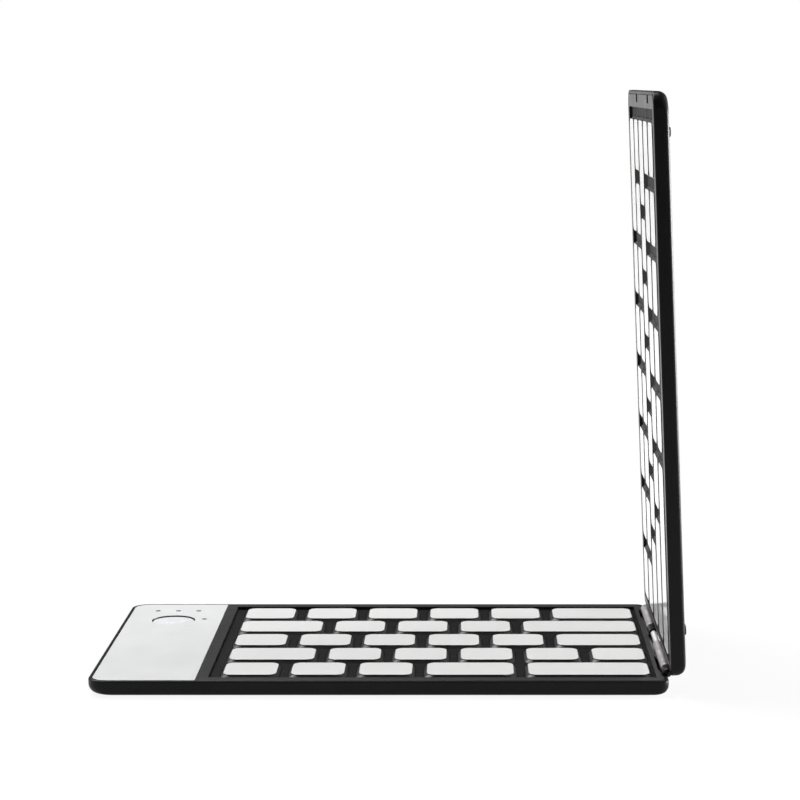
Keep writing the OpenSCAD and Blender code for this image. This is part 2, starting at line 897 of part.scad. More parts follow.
// Rubber feet, set into the underside
module feet(ys) {
    at_points(foot_xs, ys)
        translate([0, 0, -foot_h])
            linear_extrude(foot_h + foot_sink)
                round_rect(foot_w, foot_len, foot_w / 2 - 0.02);
}

module base_feet() {
    color(rubber)
        base_place()
            feet(base_foot_ys);
}

module lid_feet() {
    color(rubber)
        lid_place()
            feet(lid_foot_ys);
}

// Countersunk case screws with a cross recess
module screws(xs) {
    at_points(xs, screw_ys)
        difference() {
            screw_shape(0, screw_top);
            for (a = [0, 90])
                rotate([0, 0, a])
                    cube([1.3, 0.3, 0.5], center = true);
        }
}

module base_screws() {
    color("#4a4a4c")
        base_place()
            screws(base_screw_xs);
}

module lid_screws() {
    color("#4a4a4c")
        lid_place()
            screws(lid_screw_xs);
}

// Magnets near the free ends hold the halves shut
module magnets() {
    at_points([magnet_x], magnet_ys)
        translate([0, 0, sheet_top + magnet_size[2] / 2])
            cube(magnet_size, center = true);
}

module base_magnets() {
    color("#c4c4c8")
        base_place()
            magnets();
}

module lid_magnets() {
    color("#c4c4c8")
        lid_place()
            magnets();
}

// The base runs from the hinge towards -x
module base_place() {
    translate([-mid_x, -half_depth / 2, foot_h])
        mirror([1, 0, 0])
            children();
}

// The lid is turned up on the hinge axis from its open and flat place
module lid_place() {
    translate([-mid_x, -half_depth / 2, foot_h + axis_z])
        rotate([0, lid_angle - 180, 0])
            translate([0, 0, -axis_z])
                children();
}

base_shell();
base_tray();
base_support_plate();
base_dome_sheet();
panel_cover();
connect_button();
indicator_lenses();
circuit_board();
battery();
tact_switch();
charging_socket();
base_link_cable();
base_hinge_leaf();
hinge_pins();
base_feet();
base_screws();
base_magnets();
for (r = [0:4])
    for (k = [0:len(BASE_ROWS[r]) - 1])
        base_key(r, k);
lid_shell();
lid_tray();
lid_support_plate();
lid_dome_sheet();
lid_link_cable();
lid_hinge_leaf();
lid_feet();
lid_screws();
lid_magnets();
space_bar();
for (r = [0:4])
    lid_key_row(r);
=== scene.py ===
# %% [markdown]
# # Dressing a folding pocket keyboard
# The CAD part says where everything is and how it moves. This lesson gives it its looks: each
# visible piece is modelled again with soft edges, and each finish is built from shader nodes.
# A scene could start empty, but loading the CAD frame first keeps every piece in its true place.

# %% Load the CAD frame
import json
import math

import bmesh
import bpy
from mathutils import Matrix, Vector


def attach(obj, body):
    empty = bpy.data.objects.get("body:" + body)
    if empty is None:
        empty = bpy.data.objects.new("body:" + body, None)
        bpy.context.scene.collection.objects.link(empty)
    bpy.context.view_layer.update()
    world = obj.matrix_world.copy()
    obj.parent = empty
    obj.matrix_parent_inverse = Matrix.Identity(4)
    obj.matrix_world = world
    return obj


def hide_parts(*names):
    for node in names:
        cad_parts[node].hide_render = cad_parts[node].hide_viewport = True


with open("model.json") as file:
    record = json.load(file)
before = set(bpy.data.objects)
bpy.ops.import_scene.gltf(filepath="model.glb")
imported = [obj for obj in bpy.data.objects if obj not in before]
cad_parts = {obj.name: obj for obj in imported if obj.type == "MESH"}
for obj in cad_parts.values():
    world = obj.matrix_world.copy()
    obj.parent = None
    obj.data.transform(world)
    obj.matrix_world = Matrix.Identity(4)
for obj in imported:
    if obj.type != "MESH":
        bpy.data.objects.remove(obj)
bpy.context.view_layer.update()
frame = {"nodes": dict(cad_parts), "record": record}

nodes = frame["nodes"]

# %% [markdown]
# ## The camera
# The picture was taken from the front with a long lens, a little above the desk. The distance,
# the tilt and the lens were worked out from the spacing of the keys, so they are set as numbers
# here. Aiming by eye would work too, but measured values make the outline match at once.

# %% Camera at the photograph's place
camera = bpy.data.objects.new("portrait_camera", bpy.data.cameras.new("portrait_camera"))
bpy.context.scene.collection.objects.link(camera)
camera.location = (0.018993, -0.64016, 0.151876)
camera.rotation_euler = (math.radians(82.609), 0, 0)
camera.data.lens = 110.25
camera.data.sensor_width = 36
camera.data.shift_x = -0.0784
camera.data.clip_start = 0.01
bpy.context.scene.camera = camera
bpy.context.scene.view_settings.view_transform = "Standard"
print("camera stands", round(-camera.location.y, 3), "m in front of the keyboard")

# %% [markdown]
# ## One function for shader nodes
# A finish is a small tree of nodes. Each could be added by hand in the Shader Editor, but one
# function that adds a node, sets it up and links it keeps every tree short enough to read.
# Colours are written as screen values and turned into linear light, which is what shaders use.

# %% Helpers for finishes
def linear(code, alpha=1.0):
    """Turn a screen colour such as '#1c1a1c' into the linear colour a shader wants."""
    channels = [int(code[i:i + 2], 16) / 255 for i in (1, 3, 5)]
    curve = [c / 12.92 if c <= 0.04045 else ((c + 0.055) / 1.055) ** 2.4 for c in channels]
    return (*curve, alpha)


def add_node(tree, kind, settings=None, inputs=None):
    """Add one node; an input is a plain value or the output socket of another node."""
    node = tree.nodes.new(kind)
    for name, value in (settings or {}).items():
        setattr(node, name, value)
    for name, value in (inputs or {}).items():
        if isinstance(value, bpy.types.NodeSocket):
            tree.links.new(value, node.inputs[name])
        else:
            node.inputs[name].default_value = value
    return node


def per_mm(size):
    """The scale of a pattern whose features are this many millimetres wide."""
    return 1000 / size


def start_finish(name, **values):
    """A material with its surface shader; values go straight to the shader's own sockets."""
    finish = bpy.data.materials.new(name)
    finish.use_nodes = True
    tree = finish.node_tree
    tree.nodes.clear()
    surface = add_node(tree, "ShaderNodeBsdfPrincipled")
    for socket, value in values.items():
        surface.inputs[socket.replace("_", " ")].default_value = value
    add_node(tree, "ShaderNodeOutputMaterial", inputs={"Surface": surface.outputs[0]})
    place = add_node(tree, "ShaderNodeTexCoord").outputs["Object"]
    return finish, tree, surface, place


def noise(tree, place, size, detail=2.0, stretch=None):
    """Cloudy noise with features of this size in mm; stretch squeezes it along an axis."""
    if stretch:
        place = add_node(tree, "ShaderNodeMapping",
                         inputs={"Vector": place, "Scale": stretch}).outputs[0]
    return add_node(tree, "ShaderNodeTexNoise",
                    inputs={"Vector": place, "Scale": per_mm(size), "Detail": detail}).outputs[0]


def tint(tree, surface, amount, dark, light):
    """Let the colour wander between two shades, as far as the pattern says."""
    mix = add_node(tree, "ShaderNodeMix", {"data_type": "RGBA"})
    tree.links.new(amount, mix.inputs[0])
    mix.inputs[6].default_value = linear(dark)
    mix.inputs[7].default_value = linear(light)
    tree.links.new(mix.outputs[2], surface.inputs["Base Color"])


def gloss(tree, surface, amount, low, high):
    """Let the roughness wander between two values."""
    spread = add_node(tree, "ShaderNodeMapRange", inputs={
        "Value": amount, "From Min": 0.3, "From Max": 0.7, "To Min": low, "To Max": high})
    tree.links.new(spread.outputs[0], surface.inputs["Roughness"])


def relief(tree, surface, height, depth_mm, strength=1.0):
    """Raise and lower the surface by a pattern of this depth in mm."""
    bump = add_node(tree, "ShaderNodeBump", inputs={
        "Height": height, "Distance": depth_mm / 1000, "Strength": strength})
    tree.links.new(bump.outputs[0], surface.inputs["Normal"])


print("black plastic in linear light:", [round(c, 4) for c in linear("#1c1a1c")])

# %% [markdown]
# ## Black shell: ABS with a soft matte coat
# Both halves sit in thin black shells. The plastic is moulded ABS with a fine eroded grain and a
# matte coat, so it reads as deep black with a weak, wide sheen. Plain black would look cut out
# of paper, so the colour drifts a little, the grain catches light, and the gloss varies softly
# where hands hold it. The grain is about 0.12 mm on the real one and is drawn at 0.3 mm.

# %% Finish of the shells
black_shell, tree, surface, place = start_finish(
    "matte_coated_black_ABS", IOR=1.5, Specular_IOR_Level=0.13)
tint(tree, surface, noise(tree, place, 14), "#0e0c0e", "#161416")
gloss(tree, surface, noise(tree, place, 9, 3), 0.29, 0.37)
relief(tree, surface, noise(tree, place, 0.3), 0.006)

# %% [markdown]
# ## Grey tray: moulded ABS with an etched grain
# The plate between the keys is a dark grey, a shade lighter than the shell and with more sheen.
# It comes out of an etched mould, so it has an even grain. Noise at two sizes does this: one
# for the grain as relief, one for the faint cloudiness of the colour.

# %% Finish of the trays
tray_grey, tree, surface, place = start_finish(
    "etched_dark_grey_ABS", IOR=1.5, Specular_IOR_Level=0.35)
tint(tree, surface, noise(tree, place, 8), "#1f1d1f", "#262426")
gloss(tree, surface, noise(tree, place, 5, 3), 0.3, 0.38)
relief(tree, surface, noise(tree, place, 0.35), 0.006)

# %% [markdown]
# ## Black well: painted shade on the tray's sunken floor
# Between the keys the tray is darker than on its border. The sunken floor lies in the shade of
# the keys and sees no bright reflections there, so that shade is painted into it as a darker
# black. Only the well faces get it.

# %% Finish of the wells
well_floor_painted_shade, tree, surface, place = start_finish(
    "well_floor_black_with_painted_shade", IOR=1.5, Specular_IOR_Level=0.06)
# painted shade: the well floor is coloured darker than the border because it lies in shade between
# the keys
tint(tree, surface, noise(tree, place, 7), "#111012", "#1a191b")
gloss(tree, surface, noise(tree, place, 4, 2), 0.45, 0.55)
relief(tree, surface, noise(tree, place, 0.3), 0.005)

# %% [markdown]
# ## White key tops: glossy ABS
# The key tops are polished white ABS, neutral in tint. Moulded plastic is never quite flat, so
# a very shallow wave bends the reflections, and faint finger marks change the gloss.
# A texture image could carry the marks, but noise needs no file and never repeats.

# %% Finish of the key tops
white_key, tree, surface, place = start_finish(
    "polished_white_ABS", IOR=1.5)
tint(tree, surface, noise(tree, place, 22), "#e3e3e3", "#eaeae9")
gloss(tree, surface, noise(tree, place, 4, 4), 0.06, 0.13)
relief(tree, surface, noise(tree, place, 7, 1), 0.012)

# %% [markdown]
# ## Dark key skirts
# Below its white top each key has a dark sloping skirt, moulded in a second shot of plastic.
# It is satin: a little rougher than the tray and far duller than the top. A glossier skirt
# mirrors the bright floor in thin jagged lines along the keys.

# %% Finish of the skirts
dark_skirt, tree, surface, place = start_finish(
    "satin_dark_grey_ABS", IOR=1.5, Specular_IOR_Level=0.5)
tint(tree, surface, noise(tree, place, 6), "#1b1a1b", "#232123")
gloss(tree, surface, noise(tree, place, 3, 2), 0.36, 0.44)
relief(tree, surface, noise(tree, place, 0.35), 0.004)

# %% [markdown]
# ## White end panel: painted plate
# The panel at the free end is a thin plate with a satin white lacquer. Lacquer shows a slight
# orange peel: soft bumps a millimetre or two across. That is the only relief it needs.

# %% Finish of the panel and the button
white_panel, tree, surface, place = start_finish(
    "lacquered_white_plate", IOR=1.5, Coat_Weight=0.15, Coat_Roughness=0.3)
tint(tree, surface, noise(tree, place, 30), "#cdcece", "#d4d5d4")
gloss(tree, surface, noise(tree, place, 6, 3), 0.34, 0.42)
relief(tree, surface, noise(tree, place, 1.6, 1), 0.0012)

white_button, tree, surface, place = start_finish(
    "moulded_white_button_ABS", IOR=1.5)
tint(tree, surface, noise(tree, place, 12), "#dee0e1", "#e5e6e7")
gloss(tree, surface, noise(tree, place, 3, 3), 0.2, 0.28)
relief(tree, surface, noise(tree, place, 2.2, 1), 0.004)

# %% [markdown]
# ## Smoked lenses
# Four small light pipes end flush in the panel. They are smoked polycarbonate: part of the light
# goes in and meets the dark inside, so from outside they read as grey dots.

# %% Finish of the indicator lenses
smoked_lens, tree, surface, place = start_finish(
    "smoked_polycarbonate", IOR=1.58, Transmission_Weight=0.45)
tint(tree, surface, noise(tree, place, 0.6), "#5c5f62", "#686b6e")
gloss(tree, surface, noise(tree, place, 0.5), 0.12, 0.22)

# %% [markdown]
# ## Metals of the hinge
# The barrels are rolled from steel strip and plated, then tumbled, which leaves a dull grey
# sheen with fine marks along the strip. The pin is drawn wire: lighter, with fine rings round
# it that spread its shine. Both marks are noise stretched along or around the hinge.

# %% Finish of the barrels and of the pins
barrel_metal, tree, surface, place = start_finish("tumbled_plated_steel", Metallic=1.0)
tint(tree, surface, noise(tree, place, 1.2, 3, (1, 0.15, 1)), "#bcb8ba", "#ccc8ca")
gloss(tree, surface, noise(tree, place, 0.7, 3, (1, 0.2, 1)), 0.34, 0.46)
relief(tree, surface, noise(tree, place, 0.3, 3, (1, 0.2, 1)), 0.004)

pin_steel, tree, surface, place = start_finish("bright_drawn_steel", Metallic=1.0)
tint(tree, surface, noise(tree, place, 2), "#cacacc", "#d4d4d6")
gloss(tree, surface, noise(tree, place, 0.8, 2, (0.1, 1, 0.1)), 0.52, 0.64)
relief(tree, surface, noise(tree, place, 0.4, 2, (0.05, 1, 0.05)), 0.002)

# %% [markdown]
# ## Rubber of the feet
# The feet are moulded nitrile rubber. It is nearly black and fully matte, with fine pores.
# Cell noise gives the pores; a little dust in the colour keeps it from going flat.

# %% Finish of the rubber feet
foot_rubber, tree, surface, place = start_finish(
    "matte_nitrile_rubber", IOR=1.52, Specular_IOR_Level=0.25)
tint(tree, surface, noise(tree, place, 1.5, 4), "#242425", "#333334")
gloss(tree, surface, noise(tree, place, 1, 2), 0.7, 0.85)
pores = add_node(tree, "ShaderNodeTexVoronoi",
                 inputs={"Vector": place, "Scale": per_mm(0.35)}).outputs["Distance"]
relief(tree, surface, pores, 0.01, 0.6)

# %% [markdown]
# ## Model in millimetres, place at the end
# Both halves are alike when they lie flat, so every piece is modelled in one flat frame: x runs
# from the hinge to the free end, y from front to back, z up. Sizes are in millimetres there.
# At the end a piece is moved to its half and scaled to metres in one go. Modelling the lid in
# its upright place would work too, but every number would be harder to read.

# %% Sizes shared by both halves
HALF_LEN, HALF_DEPTH, HALF_T = 145.1, 90.8, 3.8
LID_BACK = 0.45                    # the lid's hinge end stays this far back from the axis
RIM, GAP, FLOOR = 0.9, 0.08, 0.6   # rim width, gap between set-in pieces, floor thickness
END_R, UNDER_R, EDGE_R = 2.4, 1.0, 0.4   # rounding of lower ends, lower sides, upper edges
AXIS_Z, BARREL_R, POCKET_R = 4.25, 1.25, 1.55
WELL_Z, WELL_START, WELL_MARGIN = 3.0, 2.9, 3.9   # the trays' sunken floor and its place
PANEL_X = 118.05
BASE_ROWS = [[1, 1, 1, 1, 1, 1.5], [1.5, 1, 1, 1, 2], [1, 1, 1, 1, 1, 1.5],
             [1.5, 1, 1, 1, 1, 1], [1, 1, 1, 1.5, 2]]
LID_ROWS = [[2, 1, 1, 1, 1, 1, 1], [1] * 8, [1.5, 1, 1, 1, 1, 1, 1.5],
            [1, 1, 1, 1, 1, 1, 2], [1, 1, 1, 1, 1, 3]]
PITCH_X, PITCH_Y = 17.1, 16.3
KEY_GAP_X, KEY_DEPTH = 3.7, 12.9
KEY_TOP, KEY_CORNER = 3.9, 2.2
OPENING_MORE, OPENING_CORNER = (1.7, 1.3), 2.75   # how much wider and deeper than its key
SMOOTH_ANGLE = math.radians(32)


def key_middle(row, k, units, r):
    """Where the middle of a key lies in the flat frame."""
    along = units - sum(row[:k]) - row[k] / 2
    return 4.3 - KEY_GAP_X / 2 + along * PITCH_X, 12.8 + (4 - r) * PITCH_Y


hinge = [j for j in frame["record"]["behaviour"]["joints"] if j["name"] == "lid_hinge"][0]
hinge_x = hinge["pos_m"][0] * 1000
print("the hinge axis stands at x =", round(hinge_x, 2), "mm")

# %% Matrices that put a half in its place
to_metres = Matrix.Scale(0.001, 4)
ON_BASE = (to_metres @ Matrix.Translation((hinge_x, -HALF_DEPTH / 2, 0.5))
           @ Matrix.Diagonal((-1, 1, 1, 1)))
ON_LID = (to_metres @ Matrix.Translation((hinge_x, -HALF_DEPTH / 2, 0.5 + AXIS_Z))
          @ Matrix.Rotation(math.radians(-92.4), 4, "Y") @ Matrix.Translation((0, 0, -AXIS_Z)))
print("lid tip:", [round(v, 4) for v in ON_LID @ Vector((HALF_LEN, 0, 0))])

# %% [markdown]
# ## A small set of modelling moves
# Each piece is made the way a modeller would with the mouse: add a cube, go into edit mode,
# pick faces or edges, then extrude, inset, resize or bevel. The picks are made by where a face
# is and where it looks, because clicking isn't possible in a script.

# %% Moves for starting and picking
def only(piece):
    """Make this piece the one that is selected and active."""
    bpy.ops.object.select_all(action="DESELECT")
    piece.select_set(True)
    bpy.context.view_layer.objects.active = piece
    return piece


def block(name, low, high):
    """A cube between two corners, to be shaped further."""
    bpy.ops.object.select_all(action="DESELECT")
    bpy.ops.mesh.primitive_cube_add(
        size=1, location=[(a + b) / 2 for a, b in zip(low, high)],
        scale=[b - a for a, b in zip(low, high)])
    bpy.ops.object.transform_apply(location=True, rotation=True, scale=True)
    bpy.context.object.name = name
    return bpy.context.object


def rod(name, x, z, radius, ys, sides=48):
    """A round bar along the hinge direction, from one station to another."""
    bpy.ops.object.select_all(action="DESELECT")
    bpy.ops.mesh.primitive_cylinder_add(
        vertices=sides, radius=radius, depth=ys[1] - ys[0],
        location=(x, (ys[0] + ys[1]) / 2, z), rotation=(math.radians(90), 0, 0))
    bpy.ops.object.transform_apply(location=True, rotation=True, scale=True)
    bpy.context.object.name = name
    return bpy.context.object


def post(name, x, y, radius, zs, sides=32):
    """An upright round bar."""
    bpy.ops.object.select_all(action="DESELECT")
    bpy.ops.mesh.primitive_cylinder_add(
        vertices=sides, radius=radius, depth=zs[1] - zs[0], location=(x, y, (zs[0] + zs[1]) / 2))
    bpy.ops.object.transform_apply(location=True, rotation=True, scale=True)
    bpy.context.object.name = name
    return bpy.context.object


def pick(kind, test):
    """In edit mode, select the faces or edges whose middle and direction pass the test."""
    bpy.ops.mesh.select_mode(type=kind)
    bpy.ops.mesh.select_all(action="DESELECT")
    mesh = bpy.context.object.data
    cage = bmesh.from_edit_mesh(mesh)
    if kind == "FACE":
        for face in cage.faces:
            face.select_set(bool(test(face.calc_center_median(), face.normal)))
    else:
        for edge in cage.edges:
            a, b = (v.co for v in edge.verts)
            edge.select_set(bool(test((a + b) / 2, (b - a).normalized())))
    bmesh.update_edit_mesh(mesh)


def edit(piece):
    """Go into edit mode on this piece."""
    only(piece)
    bpy.ops.object.mode_set(mode="EDIT")


def leave():
    """Go back to object mode."""
    bpy.ops.object.mode_set(mode="OBJECT")


# %% Moves for shaping
def round_uprights(at_x, radius, steps):
    """Round the upright edges of the block at this x."""
    pick("EDGE", lambda middle, way: abs(way.z) > 0.99 and abs(middle.x - at_x) < 0.01)
    bpy.ops.mesh.bevel(offset=radius, segments=steps, affect="EDGES")


def pick_cap(up):
    """Select the flat face that looks up, or the one that looks down."""
    pick("FACE", lambda middle, normal: normal.z * up > 0.99)


def climb(size, rings):
    """Extrude the selected cap from ring to ring; a ring is (x inset, y inset, z)."""
    (x0, x1), (y0, y1) = size
    length, depth = x1 - x0, y1 - y0
    old = rings[0]
    for new in rings[1:]:
        bpy.ops.mesh.extrude_region_move(
            TRANSFORM_OT_translate={"value": (0, 0, new[2] - old[2])})
        bpy.ops.transform.resize(
            value=((length - 2 * new[0]) / (length - 2 * old[0]),
                   (depth - 2 * new[1]) / (depth - 2 * old[1]), 1),
            center_override=((x0 + x1) / 2, (y0 + y1) / 2, new[2]))
        old = new


def fillet(radius, away):
    """How far a rounded edge has drawn in at this distance from the flat face's plane."""
    return radius - math.sqrt(max(radius ** 2 - max(radius - away, 0) ** 2, 0))


def join(pieces):
    """Join pieces into the first one, as Ctrl J does."""
    only(pieces[0])
    for piece in pieces[1:]:
        piece.select_set(True)
    bpy.ops.object.join()
    return pieces[0]


def combine(piece, others, how="DIFFERENCE"):
    """Cut other solids out of a piece, or weld them on, with a Boolean that is applied."""
    tool = join(others) if len(others) > 1 else others[0]
    only(piece)
    step = piece.modifiers.new("combine", "BOOLEAN")
    step.operation, step.object, step.solver = how, tool, "EXACT"
    bpy.ops.object.modifier_apply(modifier=step.name)
    bpy.data.objects.remove(tool)
    return piece


def even_shading(piece):
    """Smooth the gentle edges and let large faces keep flat shading up to them."""
    bpy.ops.object.shade_smooth_by_angle(angle=SMOOTH_ANGLE)
    step = piece.modifiers.new("even_shading", "WEIGHTED_NORMAL")
    step.keep_sharp = True
    bpy.ops.object.modifier_apply(modifier=step.name)


def finish_piece(piece, body, finishes, place, replaced):
    """Place a piece on its half, give it its finishes, smooth it, hang it on its body and hide the
    CAD pieces it stands for.
    """
    only(piece)
    piece.data.transform(place)
    if place.determinant() < 0:
        piece.data.flip_normals()
    piece.data.materials.clear()
    for finish in finishes:
        piece.data.materials.append(finish)
    even_shading(piece)
    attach(piece, body)
    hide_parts(*replaced)
    return piece


# %% [markdown]
# ## The shells
# A shell is a shallow black dish. Its ends are rounded underneath with a 2.4 mm radius, while
# the long edges are nearly square. A Bevel could not blend two such radii at a corner, so the
# shell is grown ring by ring from a block whose corners are rounded first: each ring is one
# extrude and one resize, and the insets follow two quarter circles.

# %% A dish grown from rings
def dish(name, end_in):
    """A hollow shell with rounded ends, whose hinge end starts at this x."""
    size = ((end_in, HALF_LEN), (0, HALF_DEPTH))
    piece = block(name, (end_in, 0, END_R), (HALF_LEN, HALF_DEPTH, HALF_T - EDGE_R))
    edit(piece)
    round_uprights(end_in, 2.0, 8)
    round_uprights(HALF_LEN, 4.5, 12)
    pick_cap(-1)
    levels = [END_R, 1.95, 1.5, UNDER_R, 0.75, 0.53, 0.35, 0.21, 0.1, 0.03, 0]
    climb(size, [(fillet(END_R, z), fillet(UNDER_R, z), z) for z in levels])
    pick_cap(1)
    levels = [EDGE_R, 0.27, 0.16, 0.08, 0.03, 0]
    climb(size, [(fillet(EDGE_R, t), fillet(EDGE_R, t), HALF_T - t) for t in levels])
    bpy.ops.mesh.inset(thickness=RIM - EDGE_R, depth=0)
    inner_r = END_R - RIM
    levels = [HALF_T, FLOOR + inner_r, 1.55, 1.1, 0.8, 0.65, FLOOR]
    climb(size, [(RIM + fillet(inner_r, z - FLOOR), RIM, z) for z in levels])
    leave()
    return piece


base_dish, lid_dish = dish("base_case", 0), dish("lid_case", LID_BACK)
print("one dish has", len(base_dish.data.polygons), "faces")

# %% [markdown]
# ## Hinge pocket, knuckles and holes
# The hinge end has a round pocket for the barrels, and black knuckles that hold the steel pins.
# On the real case they are moulded in one shot with the shell, so they are welded to it here
# with a Boolean union. The front boss closes with a dome, made of shrinking rings.

# %% Stations along the hinge
FRONT_BOSS, MID_BASE, MID_LID = (7.2, 11), (51.2, 54.4), (54.6, 58)
POCKET = (5.4, 83.2)
BASE_BARRELS = [(11.2, 26.4), (73.1, 82.4)]
LID_BARRELS = [(26.6, 37.6), (58.2, 72.9)]
PINS = [(7.3, 52.4), (56.8, 82.3)]
BASE_SCREWS = [(x, y) for x in (15.5, 64, 113.6) for y in (2.35, 88.45)]
LID_SCREWS = [(x, y) for x in (15.5, 75, 131.1) for y in (2.35, 88.45)]
BASE_FEET = [(x, y) for x in (11.5, 135.1) for y in (14.35, 76.45)]
LID_FEET = [(x, y) for x in (11.5, 135.1) for y in (10.4, 80.4)]
BUTTON = (131.4, 69.8)


def domed_boss():
    """The front knuckle, whose free end closes with a dome of shrinking rings."""
    piece = rod("knuckle", 0, AXIS_Z, BARREL_R, FRONT_BOSS)
    edit(piece)
    pick("FACE", lambda middle, normal: normal.y < -0.99)
    old = (0, 1)
    for angle in (18, 36, 54, 70, 82):
        new = (math.sin(math.radians(angle)), math.cos(math.radians(angle)))
        bpy.ops.mesh.extrude_region_move(TRANSFORM_OT_translate={
            "value": (0, BARREL_R * (old[0] - new[0]), 0)})
        bpy.ops.transform.resize(value=(new[1] / old[1], 1, new[1] / old[1]),
                                 center_override=(0, FRONT_BOSS[0], AXIS_Z))
        old = new
    leave()
    return piece


# %% Cut and weld the shells
def screw_hole(x, y):
    """A countersunk hole: a wide mouth that narrows to the shank."""
    piece = post("screw_hole", x, y, 1.2, (-1, 0))
    edit(piece)
    pick_cap(1)
    for scale, lift in ((0.55, 0.5), (1, 1.5)):
        bpy.ops.mesh.extrude_region_move(TRANSFORM_OT_translate={"value": (0, 0, lift)})
        bpy.ops.transform.resize(value=(scale, scale, 1), center_override=(x, y, 0))
    leave()
    return piece


def capsule(name, x, y, width, length, zs):
    """A block with fully rounded ends."""
    piece = block(name, (x - width / 2, y - length / 2, zs[0]),
                  (x + width / 2, y + length / 2, zs[1]))
    edit(piece)
    pick("EDGE", lambda middle, way: abs(way.z) > 0.99)
    bpy.ops.mesh.bevel(offset=width / 2 - 0.01, segments=8, affect="EDGES")
    leave()
    return piece


def carve_case(piece, end_in, barrels, knuckles, screws, feet):
    """Cut the hinge pocket, weld the knuckles on, then cut the bores and holes."""
    combine(piece, [rod("pocket", 0, AXIS_Z, POCKET_R, POCKET, 64)])
    combine(piece, [block("slot", (-1, a - 0.1, 3.0), (1.48, b + 0.1, 5)) for a, b in barrels])
    combine(piece, knuckles, "UNION")
    roots = [block("knuckle_foot", (end_in + 0.05, *k), (end_in + RIM, *m)) for k, m in (
        ((a, HALF_T - 2), (b, AXIS_Z)) for a, b in (
            (FRONT_BOSS, MID_BASE) if end_in == 0 else (MID_LID,)))]
    combine(piece, roots, "UNION")
    combine(piece, [rod("bore", 0, AXIS_Z, 0.84, ys) for ys in PINS])
    holes = [screw_hole(x, y) for x, y in screws]
    holes += [capsule("foot_recess", x, y, 2.5, 16.1, (-1, 0.2)) for x, y in feet]
    combine(piece, holes)
    return piece


carve_case(base_dish, 0, BASE_BARRELS,
           [domed_boss(), rod("knuckle", 0, AXIS_Z, BARREL_R, MID_BASE)], BASE_SCREWS, BASE_FEET)
carve_case(lid_dish, LID_BACK, LID_BARRELS,
           [rod("knuckle", 0, AXIS_Z, BARREL_R, MID_LID)], LID_SCREWS, LID_FEET)
print("after carving:", len(base_dish.data.polygons), "and", len(lid_dish.data.polygons), "faces")

# %% [markdown]
# ## The charging socket's opening
# The back wall of the base has a small mouth for the charging plug, rounded at its corners.
# The cutter is a block with four beveled edges that run through the wall.

# %% Opening in the back wall
mouth = block("socket_mouth", (BUTTON[0] - 3.85, 89, 0.5), (BUTTON[0] + 3.85, 92, 3.1))
edit(mouth)
pick("EDGE", lambda middle, way: abs(way.y) > 0.99)
bpy.ops.mesh.bevel(offset=0.8, segments=6, affect="EDGES")
leave()
combine(base_dish, [mouth])
finish_piece(base_dish, "base", [black_shell], ON_BASE, ["base_shell"])
finish_piece(lid_dish, "lid", [black_shell], ON_LID, ["lid_shell"])

# %% [markdown]
# ## The trays
# A tray is the grey plate you see between the keys: a flat border, a sunken well, and one
# rounded opening for each key. Modelling every opening with insets would take long, so one
# rounded cutter per key width is made, copied to all its places and cut out in a single
# Boolean.

# %% Cutters for the key openings
def rounded_block(name, width, depth, zs, radius, steps=6):
    """A block round the origin whose upright edges are rounded."""
    piece = block(name, (-width / 2, -depth / 2, zs[0]), (width / 2, depth / 2, zs[1]))
    edit(piece)
    pick("EDGE", lambda middle, way: abs(way.z) > 0.99)
    bpy.ops.mesh.bevel(offset=radius, segments=steps, affect="EDGES")
    leave()
    return piece


def copy_to(piece, name, x, y):
    """A copy with its own mesh, moved to a place."""
    twin = bpy.data.objects.new(name, piece.data.copy())
    bpy.context.scene.collection.objects.link(twin)
    twin.data.transform(Matrix.Translation((x, y, 0)))
    return twin


def key_openings(rows, units):
    """One cutter for all openings of a half."""
    models = {u: rounded_block("opening", u * PITCH_X - KEY_GAP_X + OPENING_MORE[0],
                               KEY_DEPTH + OPENING_MORE[1], (1.5, 5), OPENING_CORNER)
              for u in {u for row in rows for u in row}}
    cutters = [copy_to(models[u], "opening_copy", *key_middle(row, k, units, r))
               for r, row in enumerate(rows) for k, u in enumerate(row)]
    for model in models.values():
        bpy.data.objects.remove(model)
    return cutters


# %% A tray
def tray(name, end_in, rows, units, well_end, barrels, cable_y, screws):
    """A key plate with its well, its hollow underside and all its openings."""
    inset = RIM + GAP
    size = ((end_in + inset, HALF_LEN - inset), (inset, HALF_DEPTH - inset))
    piece = block(name, (size[0][0], inset, 2.15), (size[0][1], HALF_DEPTH - inset, HALF_T - 0.12))
    edit(piece)
    round_uprights(size[0][0], 1.4, 6)
    round_uprights(size[0][1], 3.9, 10)
    pick_cap(-1)
    climb(size, [(0, 0, 2.15), (0.4, 0.02, 1.15)])
    pick_cap(1)
    climb(size, [(fillet(0.12, t), fillet(0.12, t), HALF_T - t) for t in (0.12, 0.05, 0.01, 0)])
    leave()
    combine(piece, [block("well", (WELL_START, WELL_MARGIN, WELL_Z),
                          (well_end, HALF_DEPTH - WELL_MARGIN, 5))])
    combine(piece, [block("hollow", (2.97, 4.92, 0), (units * PITCH_X + 2.0, 85.9, 2.3))])
    combine(piece, [rod("pocket", 0, AXIS_Z, POCKET_R + 0.05,
                        (POCKET[0] - 0.05, POCKET[1] + 0.05), 64)])
    combine(piece, [block("slot", (0, a - 0.1, 0), (1.9, b + 0.1, 5)) for a, b in barrels]
            + [block("cable_slot", (0, cable_y - 0.7, 0), (2.75, cable_y + 0.7, 3.4))])
    combine(piece, [post("screw_hole", x, y, 0.64, (0, 2.65)) for x, y in screws
                    if x < well_end + 3])
    combine(piece, key_openings(rows, units))
    return piece


